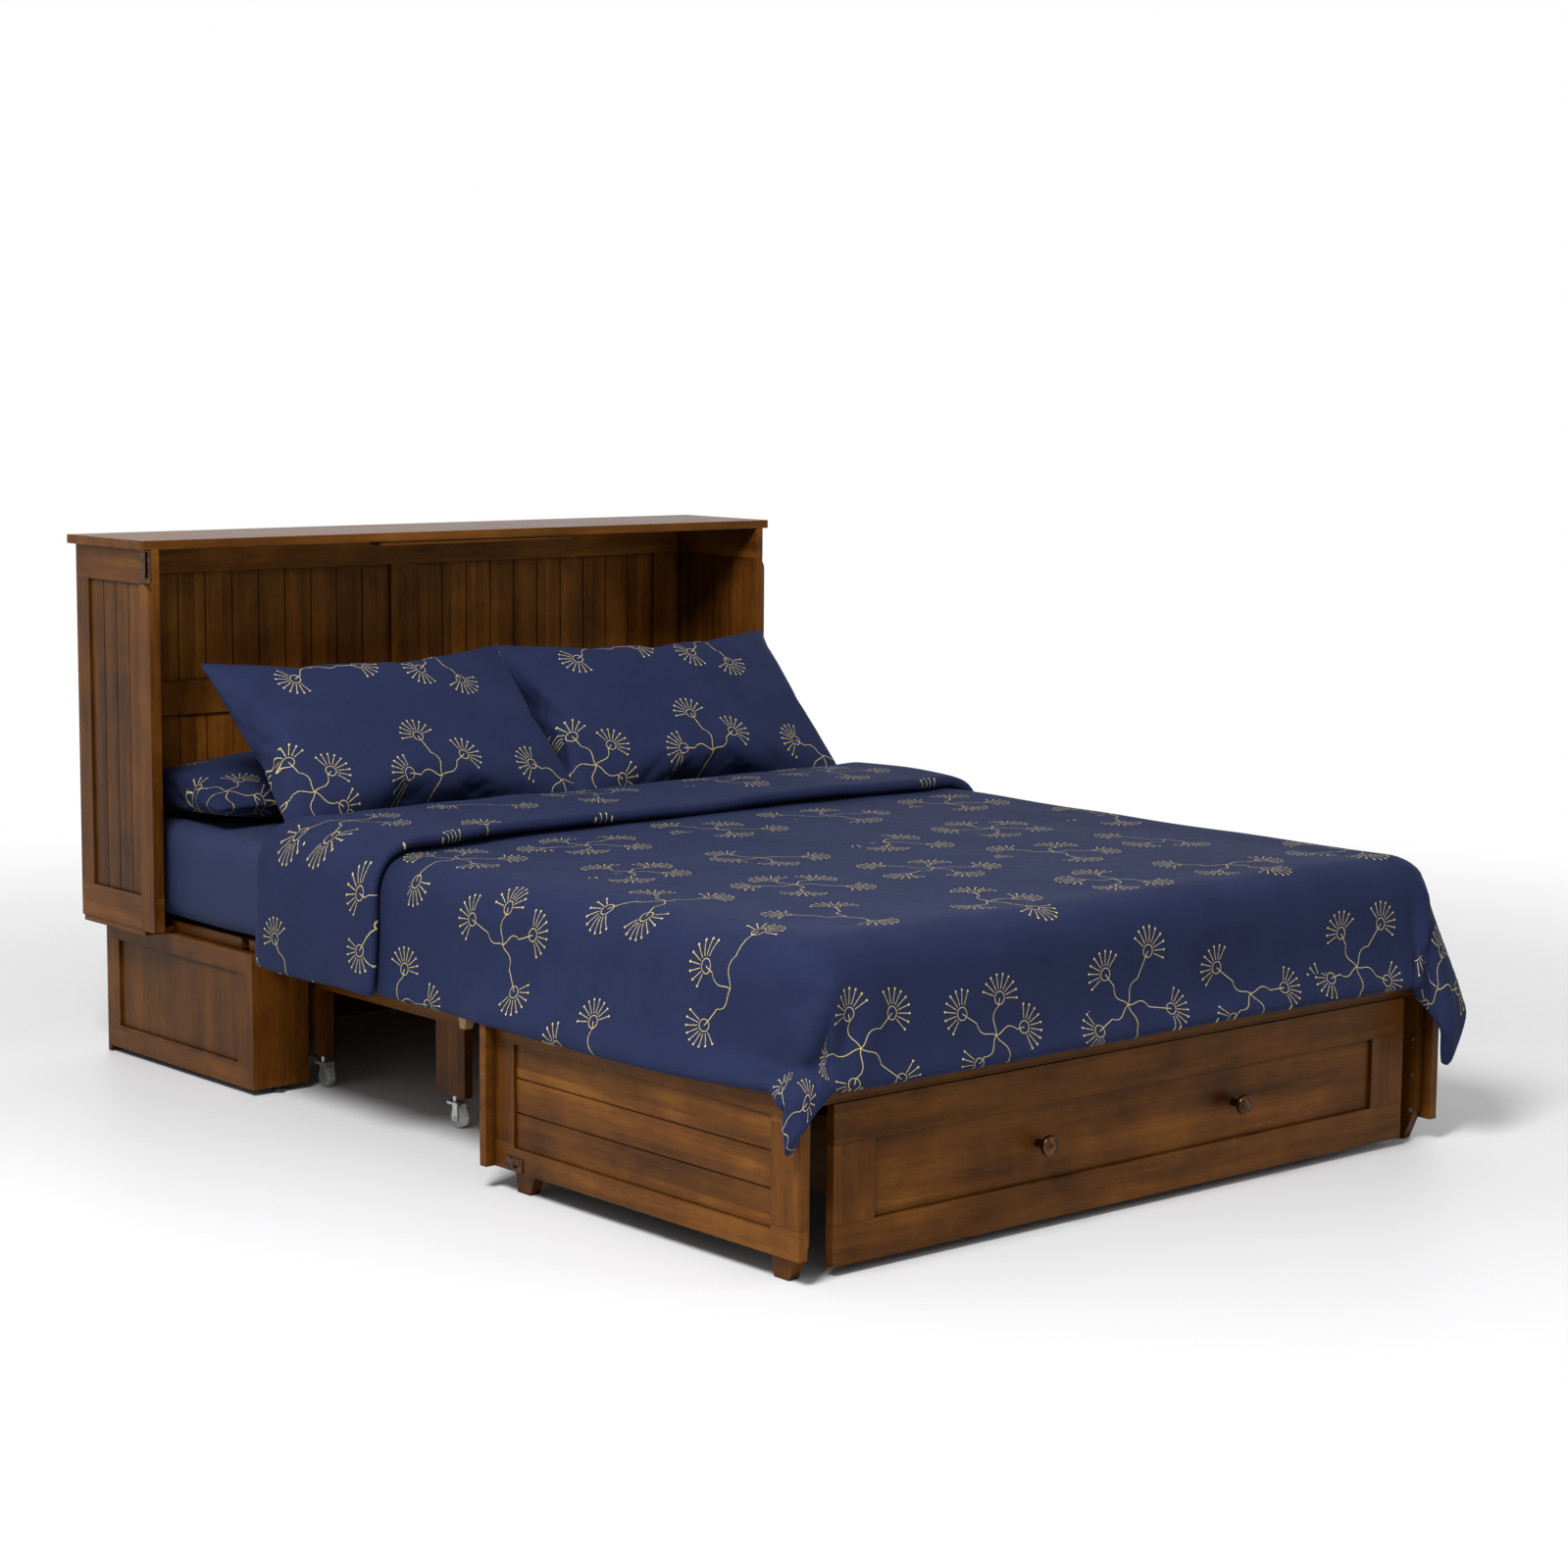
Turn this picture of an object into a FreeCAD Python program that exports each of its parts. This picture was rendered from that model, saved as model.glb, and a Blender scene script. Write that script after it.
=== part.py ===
import FreeCAD, Part
import math
import os
import Sketcher

# Cabinet-type wall bed, open: rear cabinet, middle leg frame, fold-up front, drawer unit and bedding.
#
# Millimetres, +Z up.  The origin is on the floor, at the middle of the flat back.
# -Y is the foot of the bed, +X is on the right when looking from the foot to the head.

V = FreeCAD.Vector
doc = FreeCAD.newDocument("wall_bed")
sheet = doc.addObject("Spreadsheet::Sheet", "Sheet")
NODES = []

SIZES = {
    # rear cabinet
    "top_width": 1640, "top_height": 1090, "board": 18, "half_depth": 305, "overhang": 20,
    "side_bottom": 297, "stile": 50, "rail": 70, "batten_thick": 6, "panel_thick": 9,
    "groove_wide": 3, "groove_deep": 2, "side_groove_pitch": 50, "back_groove_pitch": 66,
    "base_half": 745, "base_depth": 575, "base_low": 12, "return_wide": 130, "base_rail": 42,
    # deck sections
    "deck_low": 285, "deck_thick": 23, "deck_half": 725, "section_one_end": 505,
    "section_two_start": 533, "section_two_end": 1446, "slat_wide": 70, "slat_thick": 15,
    # leg frame
    "leg_half": 590, "leg_head": 540, "leg_foot": 1078, "leg_low": 62, "leg_rail_low": 200,
    "wheel_radius": 20, "wheel_wide": 14, "axle_radius": 3, "stem_radius": 5,
    # fold-up front
    "front_head": 1450, "front_end": 2286, "front_low": 42, "front_deck_end": 2230,
    "front_stile": 90, "front_groove_pitch": 62, "leg_board_wide": 72, "leg_board_thick": 20,
    "pivot_back": 2240, "pivot_high": 300, "knuckle_radius": 4.5, "pin_radius": 2,
    # drawer unit
    "drawer_half": 714, "drawer_face": 2270, "drawer_low": 15, "drawer_top": 283,
    "drawer_stile": 90, "drawer_rail": 68, "header_half": 600, "carcass_half": 525,
    "carcass_back": 1800, "carcass_low": 60, "carcass_top": 195, "box_half": 494,
    "box_low": 70, "box_top": 185, "box_back": 1835, "box_thick": 12, "knob_radius": 18,
    "knob_offset": 246,
    # bedding
    "mattress_half": 758, "mattress_head": 45, "mattress_foot": 2255, "mattress_high": 205,
    "duvet_head": 700, "duvet_foot": 2292, "duvet_half": 846, "duvet_thick": 34,
    "duvet_hem": 262, "pillow_wide": 690, "pillow_tall": 400,
}
for row, (name, value) in enumerate(SIZES.items(), start=1):
    sheet.set(f"A{row}", str(value))
    sheet.setAlias(f"A{row}", name)
doc.recompute()


def size(name):
    """A driving dimension, read back from the sheet."""
    return float(sheet.get(name))


def bound(text):
    """An expression in which every known alias points at the sheet."""
    words = str(text).replace("(", " ( ").replace(")", " ) ").split()
    return " ".join(f"Sheet.{word}" if word in SIZES else word for word in words)


def node(shape, label):
    """Give a finished sub-part its node name."""
    shape.Label = label
    NODES.append(shape)
    return shape


def place(obj, x, y, z):
    for axis, text in zip("xyz", (x, y, z)):
        obj.setExpression(f"Placement.Base.{axis}", bound(text))


def box(x, y, z, length, width, height):
    """A box from its low corner and its three sizes, all of them expressions."""
    obj = doc.addObject("Part::Box", "Box")
    obj.setExpression("Length", bound(length))
    obj.setExpression("Width", bound(width))
    obj.setExpression("Height", bound(height))
    place(obj, x, y, z)
    return obj


def rod(axis, x, y, z, radius, length):
    """A cylinder along the axis X, Y or Z from its start point."""
    obj = doc.addObject("Part::Cylinder", "Rod")
    obj.setExpression("Radius", bound(radius))
    obj.setExpression("Height", bound(length))
    turns = {"X": (V(0, 1, 0), 90), "Y": (V(1, 0, 0), -90), "Z": (V(0, 0, 1), 0)}
    direction, angle = turns[axis]
    obj.Placement = FreeCAD.Placement(V(0, 0, 0), FreeCAD.Rotation(direction, angle))
    place(obj, x, y, z)
    return obj


def joined(*parts):
    """Touching pieces made as one solid."""
    obj = doc.addObject("Part::MultiFuse", "Joined")
    obj.Shapes = list(parts)
    obj.Refine = True
    return obj


def group(*parts):
    """Separate identical pieces kept in one node."""
    obj = doc.addObject("Part::Compound", "Group")
    obj.Links = list(parts)
    return obj


def cut(base, *tools):
    tool = tools[0] if len(tools) == 1 else group(*tools)
    obj = doc.addObject("Part::Cut", "Cut")
    obj.Base = base
    obj.Tool = tool
    return obj


def mirrored(source):
    """The same piece on the other side of the bed."""
    obj = doc.addObject("Part::Mirroring", "Mirror")
    obj.Source = source
    obj.Normal = V(1, 0, 0)
    return obj


def pair(maker, label):
    """A piece on the -X side and its mirror on the +X side, in one node."""
    node(group(maker(), mirrored(maker())), label)


def both_sides(maker, label):
    """A piece on the -X side and its mirror on the +X side, each in its own node."""
    node(maker(), f"{label}_left")
    node(mirrored(maker()), f"{label}_right")


def outline(points, thickness, label):
    """A padded plate: the sketch's corners are expressions, in the body's own XY plane."""
    body = doc.addObject("PartDesign::Body", label)
    sketch = body.newObject("Sketcher::SketchObject", f"{label}_outline")
    plane = [f for f in body.Origin.OriginFeatures if f.Role == "XY_Plane"][0]
    sketch.AttachmentSupport = (plane, "")
    sketch.MapMode = "FlatFace"
    corners = [V(float(sheet_value(px)), float(sheet_value(py)), 0) for px, py in points]
    for index, corner in enumerate(corners):
        following = corners[(index + 1) % len(corners)]
        sketch.addGeometry(Part.LineSegment(corner, following), False)
    for index, (px, py) in enumerate(points):
        before = (index - 1) % len(points)
        sketch.addConstraint(Sketcher.Constraint("Coincident", before, 2, index, 1))
        for kind, text in (("DistanceX", px), ("DistanceY", py)):
            number = sketch.addConstraint(
                Sketcher.Constraint(kind, -1, 1, index, 1, float(sheet_value(text))))
            sketch.setExpression(f"Constraints[{number}]", bound(text))
    pad = body.newObject("PartDesign::Pad", f"{label}_pad")
    pad.Profile = sketch
    pad.setExpression("Length", bound(thickness))
    body.Tip = pad
    return body


def sheet_value(text):
    """The value of a sum or difference of aliases and numbers."""
    total = 0.0
    sign = 1
    for word in str(text).split():
        if word in "+-":
            sign = 1 if word == "+" else -1
            continue
        total += sign * (size(word) if word in SIZES else float(word))
    return total


def stand(body, x, y, z, rotation):
    """Turn a padded plate out of its XY plane and set it in place."""
    body.Placement = FreeCAD.Placement(V(x, y, z), rotation)
    return body


# A plate drawn as (distance back from -Y, height) stands in the YZ plane, thick along +X.
UPRIGHT = FreeCAD.Rotation(V(0, 1, 0), V(0, 0, 1), V(1, 0, 0), "ZXY")
SIDE = "top_width / 2 - overhang"


# ---------------------------------------------------------------- rear cabinet
def rear_top():
    top = box("- top_width / 2", "- half_depth", "top_height - board",
              "top_width", "half_depth", "board")
    doc.recompute()
    corner_edges = [i + 1 for i, edge in enumerate(top.Shape.Edges)
                    if abs(edge.Vertexes[0].X - edge.Vertexes[-1].X) < 1
                    and abs(edge.Vertexes[0].Y - edge.Vertexes[-1].Y) < 1
                    and edge.Vertexes[0].Y < -1]
    clipped = doc.addObject("Part::Chamfer", "ClippedTop")
    clipped.Base = top
    clipped.Edges = [(number, 5.0, 5.0) for number in corner_edges]
    return clipped


node(rear_top(), "rear_top")
node(box(-250, "- half_depth + 4", "top_height - board - 9", 500, 40, 9), "top_finger_strip")


def upper_side_frame():
    """Two stiles and two rails in one plane."""
    outer = box(f"- ( {SIDE} )", "- half_depth", "side_bottom",
                "board", "half_depth", "top_height - board - side_bottom")
    window = box(f"- ( {SIDE} ) - 1", "- half_depth + stile", "side_bottom + rail",
                 "board + 2", "half_depth - 2 * stile",
                 "top_height - board - side_bottom - 2 * rail")
    return cut(outer, window)


def upper_side_panel():
    """Grooved board panel, set back in the frame on both faces."""
    low = "side_bottom + rail"
    high = "top_height - board - side_bottom - 2 * rail"
    panel = box(f"- ( {SIDE} ) + 5", "- half_depth + stile", low,
                "panel_thick", "half_depth - 2 * stile", high)
    tools = []
    for step in range(1, 4):
        across = f"- half_depth + stile + {step} * side_groove_pitch"
        for face in ("+ 4", "+ 3 + panel_thick"):
            tools.append(box(f"- ( {SIDE} ) {face}", across, low, "1 + groove_deep", "groove_wide", high))
    return cut(panel, *tools)


def upper_side_batten():
    """Raised strip on the front stile, rounded at its top."""
    strip = box(f"- ( {SIDE} ) - batten_thick", "- half_depth", "side_bottom",
                "batten_thick", "stile", "top_height - board - side_bottom - 95")
    cap = rod("X", f"- ( {SIDE} ) - batten_thick", "- half_depth + stile / 2",
              "top_height - board - 95", "stile / 2", "batten_thick")
    return joined(strip, cap)


def side_ledge():
    """Board that ties the upper side to the narrower base."""
    return box(f"- ( {SIDE} ) + 2", "- half_depth + 50", "deck_low",
               f"( {SIDE} ) - 2 - 730", "half_depth - 55", "side_bottom - deck_low")


pair(upper_side_frame, "side_frames")
pair(upper_side_panel, "side_panels")
pair(upper_side_batten, "side_battens")
pair(side_ledge, "side_ledges")

INSIDE = f"( {SIDE} ) - board"
BACK_THICK = 20


def headboard_frame():
    """Rails, end stiles and centre stile around four windows."""
    outer = box(f"- ( {INSIDE} )", -BACK_THICK, "side_bottom", f"2 * ( {INSIDE} )", BACK_THICK,
                "top_height - board - side_bottom")
    windows = []
    for left in (f"- ( {INSIDE} ) + 75", "35"):
        for low, high in ((367, 335), (774, 228)):
            windows.append(box(left, -BACK_THICK - 1, low, f"( {INSIDE} ) - 110", BACK_THICK + 2, high))
    return cut(outer, *windows)


def headboard_panel(left, low, high):
    wide = f"( {INSIDE} ) - 110"
    panel = box(left, -12, low, wide, "panel_thick", high)
    tools = []
    for step in range(1, 10):
        across = f"{left} + {step} * back_groove_pitch + 4"
        tools.append(box(across, -13, low, "groove_wide", "1 + groove_deep", high))
    return cut(panel, *tools)


node(headboard_frame(), "headboard_frame")
node(group(*[headboard_panel(left, low, high) for left in (f"- ( {INSIDE} ) + 75", "35")
             for low, high in ((367, 335), (774, 228))]), "headboard_panels")


# ---------------------------------------------------------------- base
def base_side_frame():
    high = "deck_low - base_low"
    outer = box("- base_half", "- base_depth + board", "base_low", "board", "base_depth - board - 12", high)
    window = box("- base_half - 1", "- base_depth + board + 38", "base_low + base_rail + 6", "board + 2",
                 "base_depth - board - 12 - 76", "deck_low - base_low - 2 * base_rail - 6")
    return cut(outer, window)


def base_side_panel():
    return box("- base_half + 6", "- base_depth + board + 38", "base_low + base_rail + 6", 6,
               "base_depth - board - 12 - 76", "deck_low - base_low - 2 * base_rail - 6")


def base_return_board():
    """Board at the front of the base, beside the opening that the leg frame rolls through."""
    return box("- base_half", "- base_depth", "base_low", "return_wide", "board", "deck_low - base_low")


pair(base_side_frame, "base_side_frames")
pair(base_side_panel, "base_side_panels")
pair(base_return_board, "base_return_boards")
node(box("- base_half", -12, 0, "2 * base_half", 12, "deck_low"), "base_back_board")


def leveler(x, y):
    """Threaded foot: a stem in the base and a round pad on the floor."""
    return joined(rod("Z", x, y, 0, 12, 6), rod("Z", x, y, 5, 4, "base_low - 5"))


node(group(*[leveler(x, y) for x in (-680, 680) for y in (-566, -26)]), "levelers")


# ---------------------------------------------------------------- deck sections
def deck_frame(start, end, half):
    """Two side rails and two end rails."""
    outer = box(f"- {half}", f"- {end}", "deck_low", f"2 * {half}", f"{end} - {start}", "deck_thick")
    window = box(f"- {half} + 60", f"- {end} + 60", "deck_low - 1", f"2 * {half} - 120",
                 f"{end} - {start} - 120", "deck_thick + 2")
    return cut(outer, window)


def deck_slats(start, end, half, count):
    """Slats in the frame's opening, flush with its top."""
    slats = []
    for index in range(count):
        y = f"- {end} + 60 + ( {end} - {start} - 120 ) * {index + 0.5} / {count} - slat_wide / 2"
        slats.append(box(f"- {half} + 60", y, "deck_low + deck_thick - slat_thick",
                         f"2 * {half} - 120", "slat_wide", "slat_thick"))
    return group(*slats)


node(deck_frame("22", "section_one_end", "deck_half"), "head_deck_frame")
node(deck_slats("22", "section_one_end", "deck_half", 4), "head_deck_slats")


def foot_bevel():
    """Wedge under the middle deck's foot edge, so that the front's top swings up past it."""
    body = outline([("0 - 2", "0 - 2"), ("0 + 87.3", "0 - 2"), ("0 - 2", "0 + 22.55")],
                   "2 * deck_half + 4", "foot_bevel")
    return stand(body, -size("deck_half") - 2, -size("section_two_end"), size("deck_low"), UPRIGHT)


node(cut(deck_frame("section_two_start", "section_two_end", "deck_half"), foot_bevel()),
     "middle_deck_frame")
node(deck_slats("section_two_start", "section_two_end", "deck_half", 7), "middle_deck_slats")


def deck_block(x):
    """Tapered block under the middle deck, drawn in the YZ plane."""
    body = outline([("0 + 8", "0"), ("0 + 24", "0"), ("0 + 32", "0 + 41"), ("0", "0 + 41")],
                   "board", f"deck_block_{abs(x)}")
    return stand(body, x, -1275, size("deck_low") - 41, UPRIGHT)


node(group(deck_block(-722), deck_block(704)), "middle_deck_blocks")


# ---------------------------------------------------------------- rolling leg frame
def leg_side():
    """Head leg, foot leg and top rail of one side, cut from one board."""
    outer = box("- leg_half", "- leg_foot", "leg_low", "board", "leg_foot - leg_head",
                "deck_low - 0.5 - leg_low")
    window = box("- leg_half - 1", "- leg_foot + 94", "leg_low - 1", "board + 2",
                 "leg_foot - leg_head - 154", "leg_rail_low - leg_low + 1")
    return cut(outer, window)


pair(leg_side, "leg_frame_sides")
node(group(*[box("- leg_half + board", y, "leg_rail_low + 4", "2 * ( leg_half - board )", "board",
                 "deck_low - 4.5 - leg_rail_low") for y in ("- leg_foot + 4", "- leg_head - 4 - board")]),
     "leg_frame_cross_rails")

CASTERS = {"head_left": (-578, -570), "head_right": (578, -570),
           "foot_left": (-578, -1031), "foot_right": (578, -1031)}
TRAIL = 14


def caster_fork(x, y):
    """Stem, crown and two cheeks of a swivel caster; the wheel trails behind the stem."""
    stem = rod("Z", x, y, "2 * wheel_radius + 8", "stem_radius", 13.7)
    crown = box(x - 12, y - 22, "2 * wheel_radius + 4", 24, 34, 5)
    cheeks = [box(x + side, y - 22, "wheel_radius - 6", 3, 16, "wheel_radius + 11") for side in (-12, 9)]
    holes = rod("X", x - 13, y - TRAIL, "wheel_radius", "axle_radius", 26)
    return cut(joined(stem, crown, *cheeks), holes)


def caster_wheel(x, y):
    """Clear wheel turning on its own axle pin."""
    tread = rod("X", f"{x} - wheel_wide / 2", y - TRAIL, "wheel_radius", "wheel_radius", "wheel_wide")
    axle = rod("X", x - 12, y - TRAIL, "wheel_radius", "axle_radius - 0.2", 24)
    return joined(tread, axle)


for corner, (cx, cy) in CASTERS.items():
    node(caster_fork(cx, cy), f"caster_fork_{corner}")
    node(caster_wheel(cx, cy), f"caster_wheel_{corner}")


# ---------------------------------------------------------------- fold-up front
node(box("- top_width / 2", "- front_head - board", "front_low", "top_width", "board",
         "deck_low + deck_thick - front_low"), "front_top")


def front_side_frame():
    high = "deck_low + deck_thick - front_low"
    outer = box(f"- ( {SIDE} )", "- front_end", "front_low", "board", "front_end - front_head - board", high)
    window = box(f"- ( {SIDE} ) - 1", "- front_end + 70", "front_low + 42", "board + 2",
                 "front_end - front_head - board - 127", "3 * front_groove_pitch")
    return cut(outer, window)


def front_side_boards():
    """Three boards side by side, with a groove at each seam."""
    long = "front_end - front_head - board - 127"
    panel = box(f"- ( {SIDE} ) + 5", "- front_end + 70", "front_low + 42", "panel_thick", long,
                "3 * front_groove_pitch")
    grooves = [box(f"- ( {SIDE} ) + 4", "- front_end + 70", f"front_low + 42 + {step} * front_groove_pitch",
                   "1 + groove_deep", long, "groove_wide") for step in (1, 2)]
    return cut(panel, *grooves)


pair(front_side_frame, "front_side_frames")
pair(front_side_boards, "front_side_boards")


def front_face_frame():
    """The closed cabinet's face: stiles and rails round two windows."""
    outer = box(f"- ( {INSIDE} )", "- front_deck_end", "deck_low", f"2 * ( {INSIDE} )",
                "front_deck_end - front_head - board", "deck_thick")
    windows = []
    for left in (f"- ( {INSIDE} ) + front_stile", "35"):
        windows.append(box(left, "- front_deck_end + 80", "deck_low - 1", f"( {INSIDE} ) - front_stile - 35",
                           "front_deck_end - front_head - board - 160", "deck_thick + 2"))
    return cut(outer, *windows)


def front_face_panel(left):
    wide = f"( {INSIDE} ) - front_stile - 35"
    long = "front_deck_end - front_head - board - 160"
    panel = box(left, "- front_deck_end + 80", "deck_low + 6", wide, long, "panel_thick")
    tools = [box(f"{left} + {step} * back_groove_pitch", "- front_deck_end + 80",
                 "deck_low + 6 + panel_thick - groove_deep", "groove_wide", long, "groove_deep + 1")
             for step in range(1, 10)]
    return cut(panel, *tools)


node(front_face_frame(), "front_face_frame")
node(group(front_face_panel(f"- ( {INSIDE} ) + front_stile"), front_face_panel("35")), "front_face_panels")


def leg_board(label, front_edge):
    """Support board with a foot that tapers towards the floor."""
    foot = f"{label}_foot"
    body = outline([("0 + 26", "0"), ("0 + 62", "0"), ("leg_board_wide", "0 + 60"),
                    ("leg_board_wide", "deck_low - 1"), ("0", "deck_low - 1"), ("0", "0 + 60")],
                   "leg_board_thick", foot)
    x = -781 if "left" in label else 761
    return stand(body, x, -front_edge, 0, UPRIGHT)


node(group(*[leg_board(f"{end}_{hand}", front_edge) for end, front_edge in (("head", 1572), ("foot", 2266))
             for hand in ("left", "right")]), "leg_boards")


def leg_screws():
    """Pan heads of the screws that hold the leg boards, three to a board."""
    heads = []
    for y in (-1536, -2256):
        for z in (58, 125, 195):
            for x in (-761, 758.5):
                heads.append(rod("X", x, y, z, 4, 2.5))
    return group(*heads)


node(leg_screws(), "leg_board_screws")


def hinge_knuckles(starts, length, bore):
    """Rolled knuckles on the fold line."""
    rings = []
    for start in starts:
        outer = rod("X", start, "- pivot_back", "pivot_high", "knuckle_radius", length)
        hole = rod("X", start - 1, "- pivot_back", "pivot_high", bore, length + 2)
        rings.append((outer, hole))
    return rings


HINGES = (-450, 0, 450)


def hinge_front_leaf(x):
    """Leaf on the front's end edge, with its two outer knuckles."""
    rings = hinge_knuckles((x - 30, x + 13), 17, "pin_radius + 0.15")
    leaf = [box(start, "- pivot_back + 2.6", "pivot_high - 1", 17, 7.4, 2) for start in (x - 30, x + 13)]
    plate = box(x - 30, "- pivot_back + 8.5", "pivot_high - 12", 60, 1.5, 20)
    return joined(plate, *leaf, *[cut(outer, hole) for outer, hole in rings])


def hinge_unit_leaf(x):
    """Leaf that stands on the drawer unit's header, with the middle knuckle."""
    (outer, hole), = hinge_knuckles((x - 12.5,), 25, "pin_radius")
    leaf = box(x - 12.5, "- pivot_back - 1", "deck_low - 1", 25, 2, "pivot_high - deck_low - 2.4")
    return joined(leaf, cut(outer, hole))


node(group(*[hinge_front_leaf(x) for x in HINGES]), "fold_hinge_front_leaves")
node(group(*[hinge_unit_leaf(x) for x in HINGES]), "fold_hinge_unit_leaves")
node(group(*[rod("X", x - 30, "- pivot_back", "pivot_high", "pin_radius", 60) for x in HINGES]),
     "fold_hinge_pins")


# ---------------------------------------------------------------- latches
LATCH_Y, LATCH_Z = -285, 1020


def latch_plate():
    plate = box(f"- ( {SIDE} ) - 2", LATCH_Y - 18, LATCH_Z - 16, 2, 36, 66)
    pin = rod("X", f"- ( {SIDE} ) - 7", LATCH_Y, LATCH_Z, 3, 5)
    return joined(plate, pin)


def latch_lever():
    """Hook lever, upright when open; it swings forward over the keeper's stud."""
    arm = box(f"- ( {SIDE} ) - 5.6", LATCH_Y - 5, LATCH_Z - 6, 3.2, 10, 52)
    hook = box(f"- ( {SIDE} ) - 5.6", LATCH_Y + 4, LATCH_Z + 37, 3.2, 10, 9)
    hole = rod("X", f"- ( {SIDE} ) - 7", LATCH_Y, LATCH_Z, 3.2, 6)
    return cut(joined(arm, hook), hole)


def latch_keeper():
    """Plate and stud at the front's corner."""
    plate = box(f"- ( {SIDE} ) - 2", -1552, 43, 2, 48, 24)
    stud = rod("X", f"- ( {SIDE} ) - 8", -1529, 52, 3, 6.5)
    return joined(plate, stud)


pair(latch_plate, "latch_plates")
both_sides(latch_lever, "latch_lever")
pair(latch_keeper, "latch_keepers")


# ---------------------------------------------------------------- drawer unit
def drawer_carcass():
    """Open front frame and two side boards joined by a back rail."""
    front = box("- header_half", "- drawer_face + board + 2", "drawer_low + 5", "2 * header_half", "board",
                "deck_low - 6 - drawer_low")
    opening = box("- carcass_half + board", "- drawer_face + board + 1", 0, "2 * ( carcass_half - board )",
                  "board + 2", 200)
    sides = [box(x, "- drawer_face + 2 * board + 2", "carcass_low", "board",
                 "drawer_face - 2 * board - 2 - carcass_back", "carcass_top - carcass_low")
             for x in ("- carcass_half", "carcass_half - board")]
    back = box("- carcass_half", "- carcass_back - board", "carcass_low", "2 * carcass_half", "board",
               "carcass_top - carcass_low")
    return joined(cut(front, opening), *sides, back)


def drawer_cornice():
    """Stepped moulding along the top of the drawer unit."""
    lower = box(-740, "- drawer_face + 2", "deck_low - 1", 1480, 16, 9)
    upper = box(-745, "- drawer_face - 5", "deck_low + 8", 1490, 23, 14)
    return joined(lower, upper)


node(drawer_carcass(), "drawer_unit_carcass")
node(drawer_cornice(), "drawer_unit_cornice")


def roller_bracket(x, y):
    plate = box(x - 9, y - 14, "2 * wheel_radius + 12", 18, 28, "carcass_low - 2 * wheel_radius - 12")
    cheeks = [box(x + side, y - 8, "wheel_radius - 6", 1.5, 16, "wheel_radius + 18.5") for side in (-9, 7.5)]
    return cut(joined(plate, *cheeks), rod("X", x - 10, y, "wheel_radius", "axle_radius", 20))


ROLLERS = [(x, y) for x in (-516, 516) for y in (-2200, -1850)]
node(group(*[roller_bracket(x, y) for x, y in ROLLERS]), "roller_brackets")
for index, (rx, ry) in enumerate(ROLLERS, start=1):
    tread = rod("X", rx - 6, ry, "wheel_radius", "wheel_radius", 12)
    axle = rod("X", rx - 9, ry, "wheel_radius", "axle_radius - 0.2", 18)
    node(joined(tread, axle), f"roller_wheel_{index}")


def drawer_front_frame():
    high = "drawer_top - drawer_low"
    outer = box("- drawer_half", "- drawer_face", "drawer_low", "2 * drawer_half", "board", high)
    window = box("- drawer_half + drawer_stile", "- drawer_face - 1", "drawer_low + drawer_rail",
                 "2 * ( drawer_half - drawer_stile )", "board + 2", "drawer_top - drawer_low - 2 * drawer_rail")
    return cut(outer, window)


node(drawer_front_frame(), "drawer_front_frame")
node(box("- drawer_half + drawer_stile", "- drawer_face + 7", "drawer_low + drawer_rail",
         "2 * ( drawer_half - drawer_stile )", 9, "drawer_top - drawer_low - 2 * drawer_rail"),
     "drawer_front_panel")


def drawer_box():
    """Tray behind the drawer front, open at the top."""
    front = "- drawer_face + board"
    outer = box("- box_half", front, "box_low", "2 * box_half", "drawer_face - board - box_back",
                "box_top - box_low")
    hollow = box("- box_half + box_thick", "- drawer_face + board + box_thick", "box_low + 8",
                 "2 * ( box_half - box_thick )", "drawer_face - board - box_back - 2 * box_thick", "box_top")
    return cut(outer, hollow)


node(drawer_box(), "drawer_box")
RUN = "drawer_face - board - box_back - 30"
node(group(*[box(x, "- box_back - ( drawer_face - board - box_back - 30 )", 110, 6, RUN, 34)
             for x in ("- carcass_half + board", "carcass_half - board - 6")]), "slide_rails_outer")
node(group(*[box(x, "- box_back - ( drawer_face - board - box_back - 30 )", 116, 5.5, RUN, 22)
             for x in ("- box_half - 5.5", "box_half")]), "slide_rails_inner")


def knob(x):
    """Turned knob: a thin neck and a round head."""
    neck = rod("Y", x, "- drawer_face - 12", "( drawer_low + drawer_top ) / 2", 7, 19)
    head = doc.addObject("Part::Ellipsoid", "KnobHead")
    head.setExpression("Radius1", bound("knob_radius - 7"))
    head.setExpression("Radius2", bound("knob_radius"))
    head.Placement = FreeCAD.Placement(V(0, 0, 0), FreeCAD.Rotation(V(1, 0, 0), 90))
    place(head, x, "- drawer_face - 20", "( drawer_low + drawer_top ) / 2")
    return joined(neck, head)


node(group(knob("- knob_offset"), knob("knob_offset")), "drawer_knobs")


# ---------------------------------------------------------------- bedding
def rounded(obj, radius):
    """All the edges of a soft block rounded."""
    doc.recompute()
    soft = doc.addObject("Part::Fillet", "Soft")
    soft.Base = obj
    soft.Edges = [(i + 1, radius, radius) for i in range(len(obj.Shape.Edges))]
    return soft


DECK_TOP = "deck_low + deck_thick"
node(rounded(box("- mattress_half", "- mattress_foot", f"{DECK_TOP} + 0.5", "2 * mattress_half",
                 "mattress_foot - mattress_head", "mattress_high"), 35.0), "mattress")


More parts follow.
